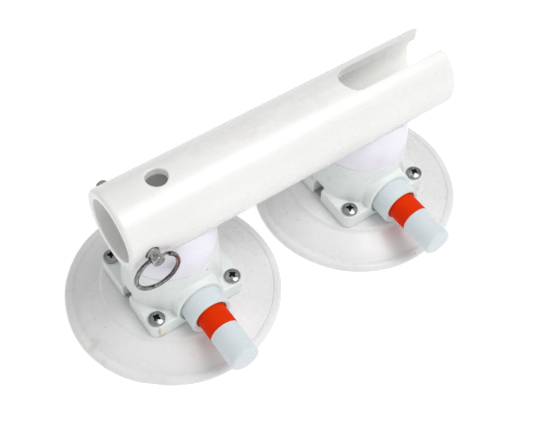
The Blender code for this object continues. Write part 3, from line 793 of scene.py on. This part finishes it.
def housing_field(x, y, z):
    """Square base, tower and pump collar in one moulding, then its hollows, notch and screw holes."""
    base = both(square(x, y, BASE_HALF, 4.5), z - EAR_TOP, 0.7)
    tower = both(np.hypot(x, y) - tower_radius(z), z - TOWER_TOP, 0.3)
    solid = either(base, tower, 0.9)
    from_cap = rod(x - CAP_SHIFT_X, z - PUMP_Z - CAP_SHIFT_Z, 0)
    collar = both(both(from_cap - COLLAR_R, COLLAR_Y - y, 0.7), y)
    solid = either(solid, collar, 1.3)
    solid = both(solid, BASE_Z0 - z, 0.3)

    cavity = both(rod(x, y, CAVITY_R), z - CAVITY_TOP, 0.8)
    solid = cut(solid, cavity, 0.4)
    solid = cut(solid, both(rod(x, z - PUMP_Z, BARREL_R + 0.3), y - 22.0), 0.35)
    groove = both(rod(x, z - PUMP_Z, SEAL_GROOVE_R), np.abs(y - SEAL_Y) - SEAL_GROOVE_WIDE / 2)
    solid = cut(solid, groove)
    seat_x = CAP_SHIFT_X + CAP_SEAT_ASIDE
    seat_z = PUMP_Z + CAP_SHIFT_Z + CAP_SEAT_ASIDE
    seat = rod(x - seat_x, z - seat_z, CAP_BACK_R + 0.5)
    solid = cut(solid, both(seat, y - CAP_Y - 0.2), 0.2)
    solid = cut(solid, both(rod(x, y, INSERT_R), INSERT_Z0 - z), 0.3)
    solid = cut(solid, both(square(x, y, GASKET_HALF, 4.25), z - BASE_Z0 - 1.0))
    notch = both(both(x - NOTCH_X, np.abs(y) - NOTCH_HALF), z - NOTCH_TOP)
    solid = cut(solid, notch, 0.5)
    for sx in (-1, 1):
        for sy in (-1, 1):
            at = (x - sx * SCREW_AT, y - sy * SCREW_AT)
            solid = cut(solid, rod(*at, 2.6), 0.2)
            solid = cut(solid, both(rod(*at, SPOT_FACE_R), EAR_TOP - z), 0.2)
    return solid


def make_housing(side, x, shapes):
    if "housing" not in shapes:
        start = low("left_housing") - (x, CUP_Y, 0)
        end = high("left_housing") - (x, CUP_Y, 0)
        shapes["housing"] = field_mesh("tower_shell", housing_field, start, end, 0.5)
    mesh = shapes["housing"].copy()
    piece(side + "_tower", mesh, "frame", [side + "_housing"],
          LOOKS[side + "_housing"], (x, CUP_Y, 0))


def saddle_field(x, y, z):
    """A round block whose side curves in towards the tube, with the tube's seat across its top."""
    share = np.clip((z - SADDLE_BEND_Z) / (SADDLE_TOP - SADDLE_BEND_Z), 0, 1.3)
    radius = SADDLE_R - 4.7 * share ** 2.6
    solid = both(np.hypot(x, y) - radius, SADDLE_Z0 - 0.35 - z, 0.2)
    solid = both(solid, z - SADDLE_TOP, 0.3)
    solid = cut(solid, rod(y, z - TUBE_AT[2], TUBE_R - 0.05), 0.1)
    return cut(solid, rod(x, y, BOLT_HOLE_R), 0.3)


def make_saddle(side, x, shapes):
    if "saddle" not in shapes:
        start = low("left_saddle") - (x, CUP_Y, 0)
        end = high("left_saddle") - (x, CUP_Y, 0)
        shapes["saddle"] = field_mesh("saddle_shape", saddle_field, start, end, 0.45)
    piece(side + "_cradle", shapes["saddle"], "frame", [side + "_saddle"],
          LOOKS["saddle"], (x, CUP_Y, 0))


def screw_field(x, y, z):
    """A pan head over a threaded shank, with a tapered cross recess. Z starts at the head's seat."""
    r = np.hypot(x, y)
    crown = np.hypot(r, z - HEAD_TOP + CROWN_R) - CROWN_R
    head = both(both(r - HEAD_R, crown, 0.35), -z, 0.2)
    turn = z / SCREW_PITCH - np.arctan2(y, x) / (2 * pi)
    ridge = np.abs(turn - np.floor(turn) - 0.5) * 2
    thread = (r - 1.88 - 0.32 * ridge) * 0.75
    shank = both(thread, -z - SCREW_LENGTH, 0.3)
    shank = both(shank, z)
    depth = HEAD_TOP - z
    arm = np.maximum(0.60 - 0.10 * depth, 0.2)
    reach = 2.4 - 0.70 * depth
    cross = np.minimum(both(np.abs(x) - arm, np.abs(y) - reach), both(np.abs(y) - arm, np.abs(x) - reach))
    cross = np.minimum(cross, (r - 1.5 + 0.45 * depth) * 0.9)
    recess = both(cross, depth - 1.9)
    return np.minimum(cut(head, recess, 0.12), shank)


def make_screws(side, shapes):
    if "screw" not in shapes:
        start = (-HEAD_R, -HEAD_R, -SCREW_LENGTH - 0.1)
        end = (HEAD_R, HEAD_R, HEAD_TOP)
        shapes["screw"] = field_mesh("screw_shape", screw_field, start, end, 0.17)
    for number in range(1, 5):
        node = f"{side}_screw_{number}"
        at = middle(node)
        angle = {"left": (35, 8, 20, 62), "right": (50, 28, 12, 74)}[side][number - 1]
        turn = Matrix.Rotation(radians(angle), 3, "Z")
        piece(f"{side}_pan_screw_{number}", shapes["screw"], "frame", [node], LOOKS["screw"],
              (at[0], at[1], SCREW_SEAT), turn)


def pump_span(node):
    """A pump piece's start and end along the pump, from the cup's axis."""
    return low(node)[1] - CUP_Y, high(node)[1] - CUP_Y


def off_centre(spot):
    """Move the barrel's thick front, but not its mouth or the straight tube behind it."""
    if hypot(spot.x, spot.y) < BARREL_R + 0.1:
        return spot
    return spot + Vector((CAP_SHIFT_X, -CAP_SHIFT_Z, 0))


def make_barrel(side, x):
    start, end = pump_span(side + "_pump_barrel")
    profile = [(MOUTH_R, start, 0.35), (CAP_FRONT_R, start, 0.8), (CAP_BACK_R, CAP_Y, 0.1)]
    profile += [(BARREL_R, CAP_Y, 0), (BARREL_R, end, 0.8)]
    profile += [(1.6, end, 0.2), (1.6, end - 3.0, 0.2), (BARREL_BORE_R, end - 3.0, 0.3)]
    profile += [(BARREL_BORE_R, start + 2.5, 0.2), (MOUTH_R, start + 2.5, 0.2)]
    outline = soft_profile(profile, closed=True)
    mesh = turned_mesh(side + "_barrel_shape", outline, closed=True, warp=off_centre)
    piece(side + "_cylinder", mesh, "frame", [side + "_pump_barrel"], LOOKS["pump"],
          (x, CUP_Y, PUMP_Z), ALONG_Y)


def make_plunger(side, x):
    start, end = pump_span(side + "_plunger")
    band_start, band_end = pump_span(side + "_indicator_band")
    groove_r = PLUNGER_R - 0.9
    profile = [(0, start, 0), (PLUNGER_R, start, 1.4), (PLUNGER_R, band_start - 0.05, 0.12)]
    profile += [(groove_r, band_start - 0.05, 0), (groove_r, band_end + 0.05, 0)]
    profile += [(PLUNGER_R, band_end + 0.05, 0.12), (PLUNGER_R, end, 0.5), (6.1, end, 0.3)]
    profile += [(6.1, start + 4.0, 0.8), (0, start + 4.0, 0)]
    body = side + "_pump_rod"
    mesh = turned_mesh(side + "_plunger_shape", soft_profile(profile, steps=7))
    piece(side + "_push_rod", mesh, body, [side + "_plunger"], LOOKS["pump"],
          (x, CUP_Y, PUMP_Z), ALONG_Y)

    profile = [(groove_r + 0.1, band_start, 0.1), (PLUNGER_R, band_start, 0.15)]
    profile += [(PLUNGER_R, band_end, 0.15), (groove_r + 0.1, band_end, 0.1)]
    mesh = turned_mesh(side + "_band_shape", soft_profile(profile, closed=True), closed=True)
    piece(side + "_warning_band", mesh, body, [side + "_indicator_band"], LOOKS["band"],
          (x, CUP_Y, PUMP_Z), ALONG_Y)


def make_return_spring(side, x):
    """An open coil from the piston to the barrel's rear wall, drawn at one length."""
    node = side + "_return_spring"
    start, end = pump_span(node)
    wire_r = 0.5
    coil_r = (high(node)[0] - low(node)[0]) / 2 - wire_r
    turns = 5
    steps = 300
    points = []
    for i in range(steps + 1):
        a = 2 * pi * turns * i / steps
        height = start + wire_r + (end - start - 2 * wire_r) * i / steps
        points.append(Vector((coil_r * cos(a), height, coil_r * sin(a))))
    section = []
    for k in range(12):
        a = 2 * pi * k / 12
        section.append((wire_r * cos(a), wire_r * sin(a)))
    mesh = swept_mesh(side + "_coil_shape", points, section, lambda i: Vector((0, 1, 0)))
    coil = piece(side + "_coil_spring", mesh, "frame", [node], LOOKS["hidden_steel"],
                 (x, CUP_Y, PUMP_Z))
    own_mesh(coil)


def bolt_field(x, y, z):
    """A button-head bolt with a hexagon socket. Z starts at the head's seat."""
    r = np.hypot(x, y)
    crown = np.hypot(r, z + 4.2) - 7.5
    head = both(both(r - BOLT_HEAD_R, crown, 0.3), -z, 0.2)
    turn = z / BOLT_PITCH - np.arctan2(y, x) / (2 * pi)
    ridge = np.abs(turn - np.floor(turn) - 0.5) * 2
    shank = both(both((r - 2.75 - 0.33 * ridge) * 0.75, z), -z - BOLT_LENGTH, 0.4)
    socket = both(hexagon(x, y, 2.0), 1.1 - z)
    return np.minimum(cut(head, socket, 0.15), shank)


def make_fixing(side, x, shapes):
    if "bolt" not in shapes:
        start = (-BOLT_HEAD_R, -BOLT_HEAD_R, -BOLT_LENGTH)
        end = (BOLT_HEAD_R, BOLT_HEAD_R, BOLT_HEAD_HIGH)
        shapes["bolt"] = field_mesh("bolt_shape", bolt_field, start, end, 0.22)
        washer = [(3.4, 0, 0.15), (5.9, 0, 0.3), (5.9, 1.2, 0.3), (3.4, 1.2, 0.15)]
        shapes["washer"] = turned_mesh("washer_shape", soft_profile(washer, closed=True), 96, closed=True)
    piece(side + "_button_bolt", shapes["bolt"], "frame", [side + "_mount_bolt"],
          LOOKS["hidden_steel"], (x, CUP_Y, BOLT_SEAT))
    piece(side + "_flat_washer", shapes["washer"], "frame", [side + "_mount_washer"],
          LOOKS["hidden_steel"], (x, CUP_Y, low(side + "_mount_washer")[2]))


def make_cup(side, shapes):
    x = cup_x(side)
    make_pad(side, x)
    make_housing(side, x, shapes)
    make_saddle(side, x, shapes)
    make_screws(side, shapes)
    make_barrel(side, x)
    make_plunger(side, x)
    make_return_spring(side, x)
    make_fixing(side, x, shapes)


# --- CAD pieces that stay -----------------------------------------------------------------------

def carried_look(node):
    """Finish of a CAD piece that is shown as it is."""
    for word, look in (("gasket", "gasket"), ("seal", "seal"), ("valve", "seal"), ("insert", "brass"),
                       ("filter", "inner"), ("piston", "inner")):
        if word in node:
            return LOOKS[look]
    return LOOKS["hidden_steel"]


def finish_carried_nodes():
    for name in sorted(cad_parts):
        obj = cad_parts[name]
        if obj.hide_render:
            continue
        obj.data.materials.clear()
        obj.data.materials.append(carried_look(name))
        soft = obj.modifiers.new("soft_edges", "BEVEL")
        soft.width = 0.12 * MM
        soft.segments = 2
        soft.limit_method = "ANGLE"
        soft.angle_limit = radians(40)


# --- floor, light and camera --------------------------------------------------------------------

def make_floor():
    bm = bmesh.new()
    bmesh.ops.create_grid(bm, x_segments=8, y_segments=8, size=6.0)
    mesh = bpy.data.meshes.new("studio_floor")
    bm.to_mesh(mesh)
    bm.free()
    floor = bpy.data.objects.new("studio_floor", mesh)
    bpy.context.scene.collection.objects.link(floor)
    floor.location.z = cad_low.z - 0.0002
    paper = Surface("floor_paper", Roughness=0.9)
    paper.shader.inputs["Emission Color"].default_value = (1, 1, 1, 1)
    paper.shader.inputs["Emission Strength"].default_value = 0.76
    paper.finish(paper.mixed(paper.noise(30.0), (0.34, 0.34, 0.34, 1), (0.36, 0.36, 0.36, 1)))
    mesh.materials.append(paper.material)


def area_light(name, azimuth, elevation, distance, size, power, colour=(1, 1, 1)):
    """A square soft light aimed at the object. Azimuth 0 is in front, towards -Y, and 90 is at +X."""
    centre = (cad_low + cad_high) / 2
    a, e = radians(azimuth), radians(elevation)
    away = Vector((sin(a) * cos(e), -cos(a) * cos(e), sin(e)))
    light = bpy.data.lights.new(name, "AREA")
    light.shape = "SQUARE"
    light.size = size
    light.energy = power
    light.color = colour
    obj = bpy.data.objects.new(name, light)
    obj.location = centre + away * distance
    obj.rotation_mode = "QUATERNION"
    obj.rotation_quaternion = away.to_track_quat("Z", "Y")
    bpy.context.scene.collection.objects.link(obj)


def make_light():
    """A white sky that fades towards the horizon, one main light and a weak one from the left."""
    world = bpy.data.worlds.new("studio")
    world.use_nodes = True
    tree = world.node_tree
    way = tree.nodes.new("ShaderNodeTexCoord")
    parts = tree.nodes.new("ShaderNodeSeparateXYZ")
    rise = tree.nodes.new("ShaderNodeMapRange")
    rise.inputs["To Min"].default_value = 0.42
    rise.inputs["To Max"].default_value = 0.57
    tree.links.new(way.outputs["Generated"], parts.inputs["Vector"])
    tree.links.new(parts.outputs["Z"], rise.inputs["Value"])
    tree.links.new(rise.outputs["Result"], tree.nodes["Background"].inputs["Strength"])
    tree.nodes["Background"].inputs["Color"].default_value = (1.0, 1.0, 1.0, 1)
    bpy.context.scene.world = world
    area_light("front_key", 35, 62, 1.5, 0.9, 11.4)
    area_light("left_fill", -85, 12, 1.6, 0.9, 1.2)
    bpy.context.scene.view_settings.view_transform = "Standard"


CAMERA_AZIMUTH = radians(-36.66)    # round from straight in front
CAMERA_HEIGHT = radians(53.85)      # above the horizon
CAMERA_ROLL = radians(2.17)
CAMERA_DISTANCE = 0.5025            # from the object's centre, along the view
CAMERA_ASIDE = -0.0039
CAMERA_UP = -0.0142
CAMERA_LENS = 66.73


def make_camera():
    centre = (cad_low + cad_high) / 2
    a, e, roll = CAMERA_AZIMUTH, CAMERA_HEIGHT, CAMERA_ROLL
    back = Vector((sin(a) * cos(e), -cos(a) * cos(e), sin(e)))
    right = Vector((cos(a), sin(a), 0))
    up = back.cross(right)
    data = bpy.data.cameras.new("camera")
    data.lens = CAMERA_LENS
    data.sensor_width = 36
    data.clip_start = 0.01
    camera = bpy.data.objects.new("camera", data)
    bpy.context.scene.collection.objects.link(camera)
    turned_right = right * cos(roll) + up * sin(roll)
    turned_up = up * cos(roll) - right * sin(roll)
    matrix = Matrix((turned_right, turned_up, back)).transposed().to_4x4()
    matrix.translation = centre + back * CAMERA_DISTANCE + right * CAMERA_ASIDE + up * CAMERA_UP
    camera.matrix_world = matrix
    bpy.context.scene.camera = camera


def main():
    make_camera()
    make_tube()
    make_pin()
    make_ring()
    shapes = {}
    for side in SIDES:
        make_cup(side, shapes)
    finish_carried_nodes()
    make_floor()
    make_light()


main()
